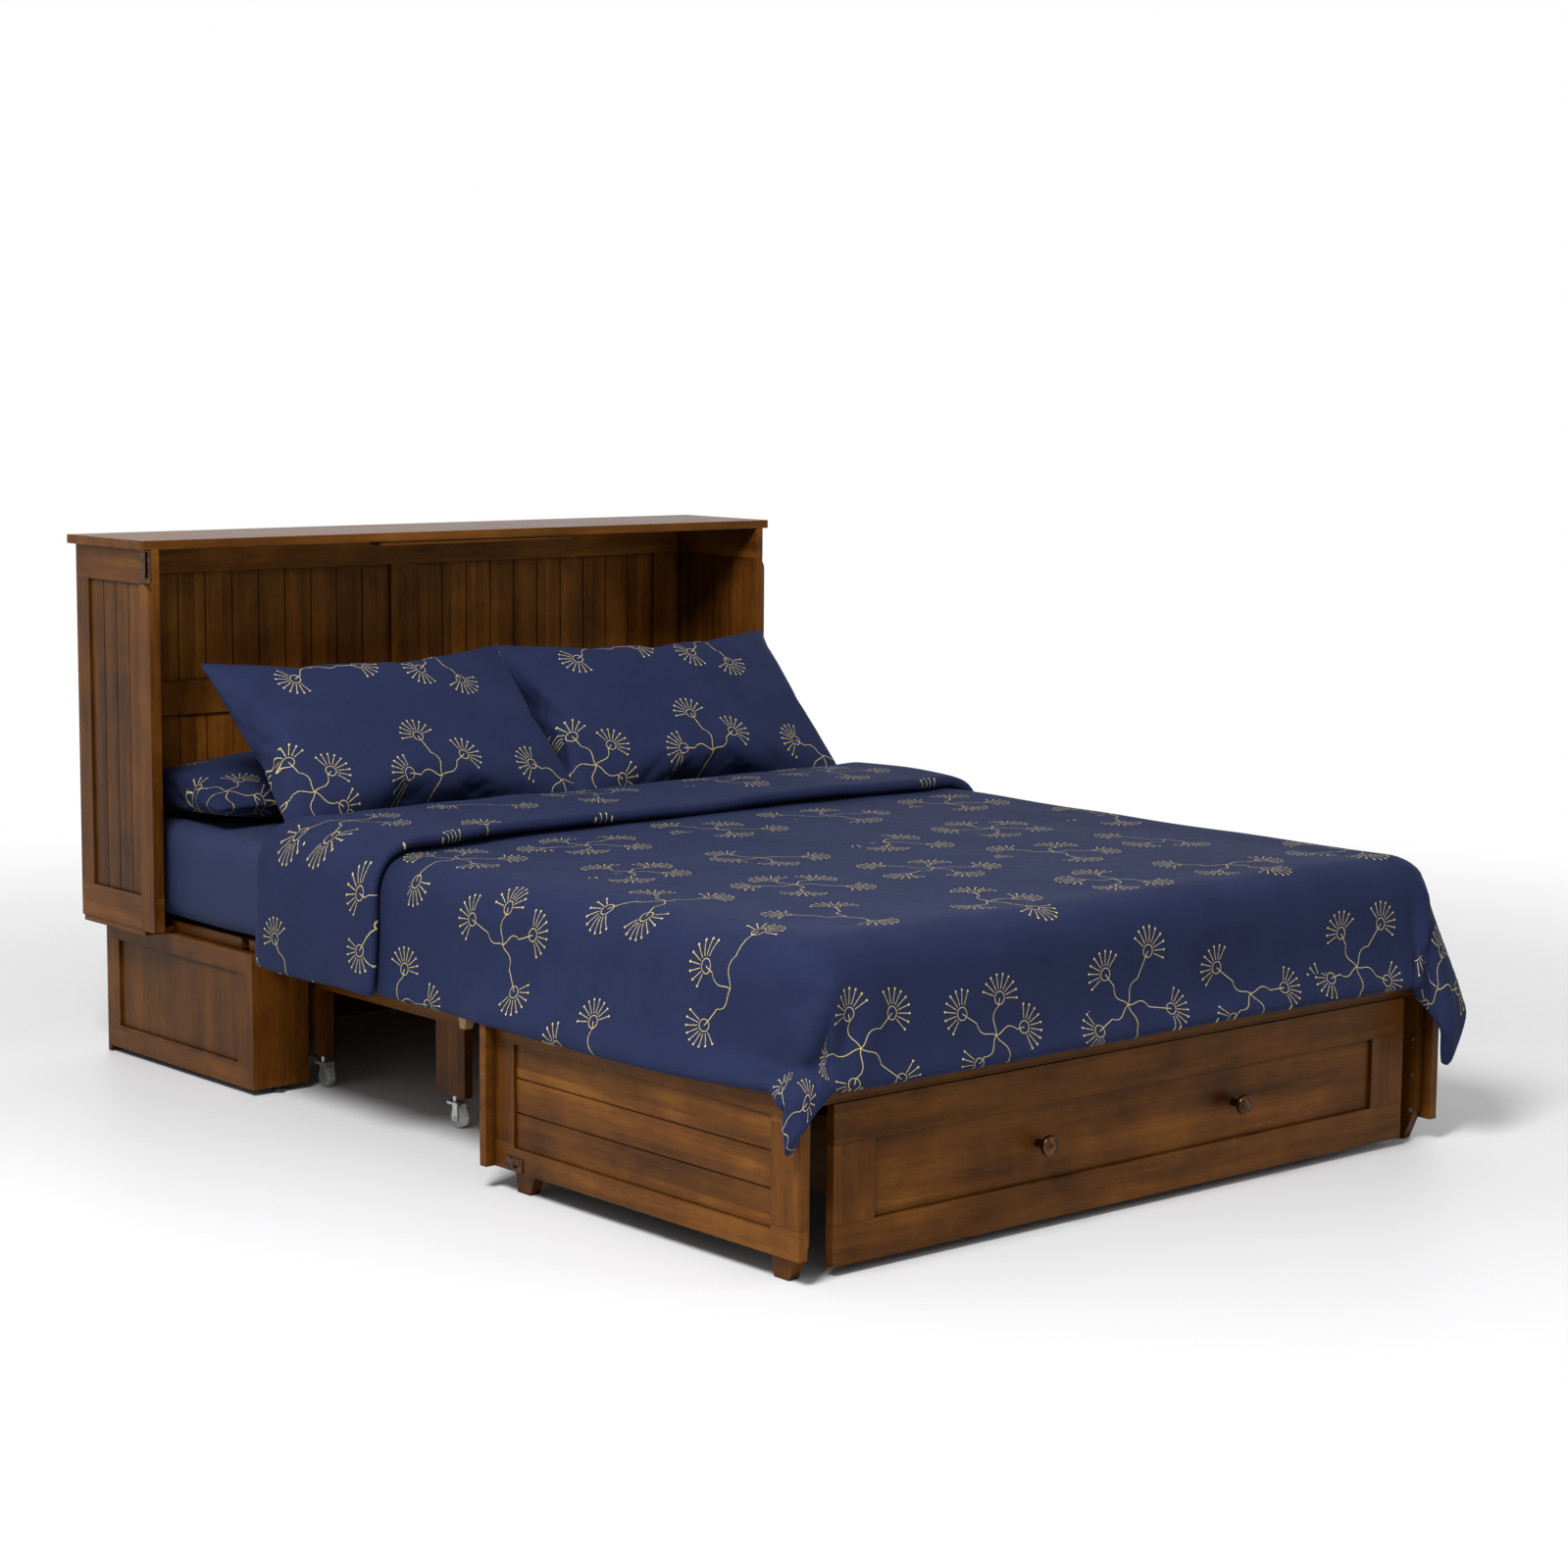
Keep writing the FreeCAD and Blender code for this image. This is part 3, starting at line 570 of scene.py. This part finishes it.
back_low, back_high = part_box("back_pillows")
back_wide = (back_high.x - back_low.x) / 2 - 0.045
for hand, start in (("left", back_low.x), ("right", back_high.x - back_wide)):
    lay_pillow(f"back_pillow_{hand}", Vector((start, back_low.y, back_low.z)),
               Vector((start + back_wide, back_high.y, back_high.z)), lean=2.0, seed=3.0 + start,
               wide=back_wide * 1.06, tall=0.43, thick=0.125,
               part="back_pillows" if hand == "left" else None)
for hand, turn in (("left", 1.5), ("right", -2.0)):
    low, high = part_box(f"front_pillow_{hand}")
    lay_pillow(f"sleeping_pillow_{hand}", low, high, lean=45.0, seed=9.0 + turn,
               wide=(high.x - low.x) * 1.12, tall=0.475, thick=0.15,
               turn=turn, shift=-0.035, part=f"front_pillow_{hand}")


# ---------------------------------------------------------------- duvet
STEP = 0.02                            # between neighbouring cloth points
BEND = 0.052                           # radius of the cloth's turn over the mattress edge
QUARTER_TURN = BEND * math.pi / 2      # length of cloth in that turn
SIDE_HANG, FOOT_HANG = 0.195, 0.178    # cloth below that turn
BAND_GAP = 0.030                       # between the duvet's middle surface and the band's

edge_x = mattress_high.x - 0.035
edge_y = mattress_low.y + 0.035


def over(distance):
    """How far out and how far down the cloth is, this far past the start of the turn."""
    if distance <= 0:
        return distance, 0.0
    if distance < QUARTER_TURN:
        angle = distance / BEND
        return BEND * math.sin(angle), BEND * (1 - math.cos(angle))
    past = distance - QUARTER_TURN
    return BEND + 0.05 * past, BEND + past * 0.995


def hanging_point(across, along):
    """Where the cloth point at this place of the flat duvet hangs before it settles."""
    side = 1 if across > 0 else -1
    out_x, out_y = abs(across) - edge_x, edge_y - along
    if out_x > 0 and out_y > 0:
        # A corner: the cloth goes round as a cone and flares out along its diagonal.
        far = math.hypot(out_x, out_y)
        angle = math.atan2(out_y, out_x)
        out, down = over(far)
        fullness = 0.75 if side > 0 else 0.22
        flare = fullness * max(0.0, far - 0.10) * math.sin(2 * angle) ** 3
        x = edge_x + (out + flare * 0.35) * math.cos(angle)
        y = edge_y - (out + flare) * math.sin(angle) - 0.02 * math.sin(angle) * (out > BEND)
    else:
        out, down_x = over(out_x)
        x = edge_x + out
        out, down_y = over(out_y)
        y = edge_y - out
        down = max(down_x, down_y)
        ripple = (0.007 * min(1.0, down / 0.2) * math.sin(along * 13.0 + side)
                  * math.sin(across * 5.0))
        x += ripple * (out_x > 0)
        y -= ripple * (out_y > 0)
    return Vector((side * x, y, top_z + 0.019 - down))


def grid_faces(rows, columns):
    """Faces of a grid of rows x columns cells whose points are numbered row by row."""
    count = columns + 1
    return [(j * count + i, j * count + i + 1, (j + 1) * count + i + 1, (j + 1) * count + i)
            for j in range(rows) for i in range(columns)]


def drape(columns, rows, head_y):
    """The duvet's middle surface as rows of points from head edge to foot hem, settled as cloth."""
    points = [hanging_point((i - columns / 2) * STEP, head_y - j * STEP)
              for j in range(rows + 1) for i in range(columns + 1)]
    faces = [(a, d, c, b) for a, b, c, d in grid_faces(rows, columns)]
    sheet = new_object("drape", points, faces, None)
    gap = Vector((0.016, 0.016, 0.016))
    front_low, front_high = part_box("front_side_frames")
    blocks = [soft_block("block", mattress_low - gap, mattress_high + gap, 0.050, 0.05, None),
              soft_block("block", front_low - gap, front_high + gap, 0.016, 0.08, None)]
    for block in blocks:
        block.modifiers.new("hit", "COLLISION")
        set_all(block.collision, thickness_outer=0.002, cloth_friction=12)
    pin = sheet.vertex_groups.new(name="held")
    held = [n for n, p in enumerate(points)
            if abs(p.x) < 0.68 and p.y > mattress_low.y + 0.08]
    pin.add(held, 1.0, "REPLACE")
    cloth = sheet.modifiers.new("fall", "CLOTH")
    set_all(cloth.settings, quality=6, mass=0.5, air_damping=4.0, tension_stiffness=40,
            compression_stiffness=40, shear_stiffness=20, bending_stiffness=6.0,
            vertex_group_mass="held")
    cloth.collision_settings.distance_min = 0.003
    step_frames(18)
    apply_all(sheet)
    bpy.context.scene.frame_set(1)
    result = [v.co.copy() for v in sheet.data.vertices]
    for helper in [sheet, *blocks]:
        bpy.data.objects.remove(helper)
    return [result[j * (columns + 1):(j + 1) * (columns + 1)] for j in range(rows + 1)]


def fold_over(hang):
    """The whole duvet as rows of points, with each point's place on the flat cloth.

    They run from the foot hem to the head edge, round the fold and back along the band.
    """
    rows, columns = len(hang), len(hang[0])
    fold_steps = 5
    band_rows = 18
    normals = []
    for j in range(rows):
        line = []
        for i in range(columns):
            across = hang[j][min(i + 1, columns - 1)] - hang[j][max(i - 1, 0)]
            down = hang[min(j + 1, rows - 1)][i] - hang[max(j - 1, 0)][i]
            line.append(down.cross(across).normalized())
        normals.append(line)
    made, flat = [], []
    for j in range(rows - 1, -1, -1):
        made.append([hang[j][i].copy() for i in range(columns)])
        flat.append([(i, j) for i in range(columns)])
    for k in range(1, fold_steps):
        a = math.pi * k / fold_steps
        line = []
        for i in range(columns):
            ahead = (hang[0][i] - hang[1][i]).normalized()
            turned = ahead * math.sin(a) + normals[0][i] * (1 - math.cos(a))
            line.append(hang[0][i] + turned * BAND_GAP / 2)
        made.append(line)
        flat.append([(i, -0.4 * k) for i in range(columns)])
    for k in range(band_rows + 1):
        line, places = [], []
        for i in range(columns):
            side = i / (columns - 1)
            wide = 0.30 + 0.24 * max(0.0, 0.42 - side) + 0.012 * math.sin(side * 17.0)
            at = wide / STEP * k / band_rows
            j = min(int(at), rows - 2)
            part = at - j
            p = hang[j][i].lerp(hang[j + 1][i], part)
            n = normals[j][i].lerp(normals[j + 1][i], part).normalized()
            puff = 0.006 * math.sin(math.pi * k / band_rows)
            line.append(p + n * (BAND_GAP + puff))
            places.append((i, -2 - at))
        made.append(line)
        flat.append(places)
    return made, flat


head_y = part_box("duvet")[1].y - 0.02
columns = 2 * round((edge_x + QUARTER_TURN + SIDE_HANG) / STEP)
rows = round((head_y - edge_y + QUARTER_TURN + FOOT_HANG) / STEP)
lines, flat = fold_over(drape(columns, rows, head_y))
points = [p for line in lines for p in line]
faces = grid_faces(len(lines) - 1, columns)
duvet = new_object("duvet_with_band", points, faces, duvet_cloth)
layer = duvet.data.uv_layers.new(name="cloth")
places = [place for line in flat for place in line]
for loop in duvet.data.loops:
    i, j = places[loop.vertex_index]
    layer.data[loop.index].uv = (i * STEP, j * STEP)
for vertex in duvet.data.vertices:
    p = vertex.co
    fine = noise.noise(Vector((p.x * 7, p.y * 4, p.z * 7)))
    puff = 0.006 * noise.noise(p * 2.3) + 0.0035 * fine
    vertex.co = p + vertex.normal * puff
duvet.data.update()
shell = duvet.modifiers.new("filling", "SOLIDIFY")
shell.thickness = 0.024
shell.offset = 0.0
rounding = duvet.modifiers.new("round", "SUBSURF")
rounding.levels = rounding.render_levels = 1
apply_all(duvet)
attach(duvet, "bedding")
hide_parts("duvet")


# ---------------------------------------------------------------- turned knob rings
# Distance in front of the face, and radius as a share of the knob's.
KNOB_PROFILE = [(-0.006, 1.0), (-0.002, 0.98), (0.0, 0.86), (-0.0008, 0.78), (0.0016, 0.70),
                (0.0024, 0.58), (0.0014, 0.50), (0.0034, 0.42), (0.0048, 0.26), (0.0054, 0.08)]


def lathe(name, profile, centre, material, turns=40):
    """A ring turned round the -Y axis; profile gives (forward, radius)."""
    angles = [2 * math.pi * n / turns for n in range(turns)]
    points = [centre + Vector((r * math.cos(a), -f, r * math.sin(a)))
              for f, r in profile for a in angles]
    faces = []
    for j in range(len(profile) - 1):
        for i in range(turns):
            one, two = j * turns + i, j * turns + (i + 1) % turns
            faces.append((one + turns, two + turns, two, one))
    faces.append(tuple(range((len(profile) - 1) * turns, len(profile) * turns))[::-1])
    return new_object(name, points, faces, material)


knob_low, knob_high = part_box("drawer_knobs")
radius = (knob_high.z - knob_low.z) / 2
for hand, x in (("left", knob_low.x + radius), ("right", knob_high.x - radius)):
    centre = Vector((x, knob_low.y + 0.0035, (knob_low.z + knob_high.z) / 2))
    rings = [(forward, radius * share) for forward, share in KNOB_PROFILE]
    knob = lathe(f"knob_rings_{hand}", rings, centre, bronze)
    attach(knob, "drawer")


# ---------------------------------------------------------------- stage, light and camera
FLOOR_HALF, FLOOR_Z = 30, -0.001
BED_MIDDLE_Y = -1.2
FADE_START, FADE_END = 1.7, 4.4        # the floor fades from lit grey to a painted white glow between these

t = Tree("studio_floor")
floor_place, floor_parts = t.place()
pale = t.mix(t.noise(floor_place, 1.3, 3.0, 0.5), (0.64, 0.64, 0.65, 1), (0.68, 0.68, 0.69, 1))
from_middle = [floor_parts[0], t.math("ADD", floor_parts[1], -BED_MIDDLE_Y)]
away = t.math("SQRT", t.total(*[t.product(p, p) for p in from_middle]))
near = t.smooth(away, FADE_START, FADE_END)
# Painted light: past the fade the floor's colour goes black and it glows white by emission instead
# of being lit.
floor_material = t.surface(Base_Color=t.mix(near, (0, 0, 0, 1), pale), Roughness=0.5,
                           Specular_IOR_Level=t.product(near, 0.3),
                           Emission_Color=(1, 1, 1, 1),
                           Emission_Strength=t.math("SUBTRACT", 1.0, near))
floor_corners = [(x * FLOOR_HALF, y * FLOOR_HALF, FLOOR_Z)
                 for x, y in ((-1, -1), (1, -1), (1, 1), (-1, 1))]
floor = new_object("studio_floor", floor_corners, [(0, 1, 2, 3)], floor_material, smooth=False)

# The sky is brighter behind the bed and to its right.
world = bpy.data.worlds.new("studio")
world.use_nodes = True
sky = world.node_tree
background = sky.nodes["Background"]
towards = sky.nodes.new("ShaderNodeVectorMath")
towards.operation = "DOT_PRODUCT"
towards.inputs[1].default_value = (0.65, 0.76, 0.0)
sky.links.new(sky.nodes.new("ShaderNodeTexCoord").outputs["Generated"], towards.inputs[0])
fade = sky.nodes.new("ShaderNodeMapRange")
for socket, value in (("From Min", 0.25), ("From Max", 0.85), ("To Min", 0.45), ("To Max", 1.0)):
    fade.inputs[socket].default_value = value
sky.links.new(towards.outputs["Value"], fade.inputs["Value"])
sky.links.new(fade.outputs[0], background.inputs["Strength"])
background.inputs["Color"].default_value = (1.0, 1.0, 1.0, 1)
bpy.context.scene.world = world
bpy.context.scene.view_settings.view_transform = "Standard"


def area_light(name, position, target, size, energy):
    """A round soft light that points at the target."""
    data = bpy.data.lights.new(name, "AREA")
    set_all(data, shape="DISK", size=size, energy=energy)
    obj = bpy.data.objects.new(name, data)
    bpy.context.scene.collection.objects.link(obj)
    obj.location = position
    obj.rotation_euler = (Vector(target) - Vector(position)).to_track_quat("-Z", "Y").to_euler()


area_light("key", (-3.6, -3.2, 4.6), (0, -1.2, 0.4), 1.8, 420)
area_light("foot", (3.2, -6.2, 3.4), (0.2, -2.0, 0.3), 2.4, 40)

# Angles in radians; the focal length is in pixels of a square picture IMAGE_SIDE wide.
IMAGE_SIDE, SENSOR = 1599, 36.0
yaw, pitch, roll, focal = 0.7123, 0.1284, 0.0081, 3354.0
camera_place = Vector((-4.1281, -6.0947, 1.4586))
ahead = Vector((math.sin(yaw) * math.cos(pitch), math.cos(yaw) * math.cos(pitch), -math.sin(pitch)))
right = Vector((math.cos(yaw), -math.sin(yaw), 0))
up = right.cross(ahead)
rolled_right = right * math.cos(roll) + up * math.sin(roll)
rolled_up = up * math.cos(roll) - right * math.sin(roll)
camera = bpy.data.objects.new("camera", bpy.data.cameras.new("camera"))
bpy.context.scene.collection.objects.link(camera)
turned = Matrix((rolled_right, rolled_up, -ahead)).transposed().to_4x4()
camera.matrix_world = Matrix.Translation(camera_place) @ turned
camera.data.sensor_width = SENSOR
camera.data.lens = focal / IMAGE_SIDE * SENSOR
camera.data.clip_end = 200.0
bpy.context.scene.camera = camera
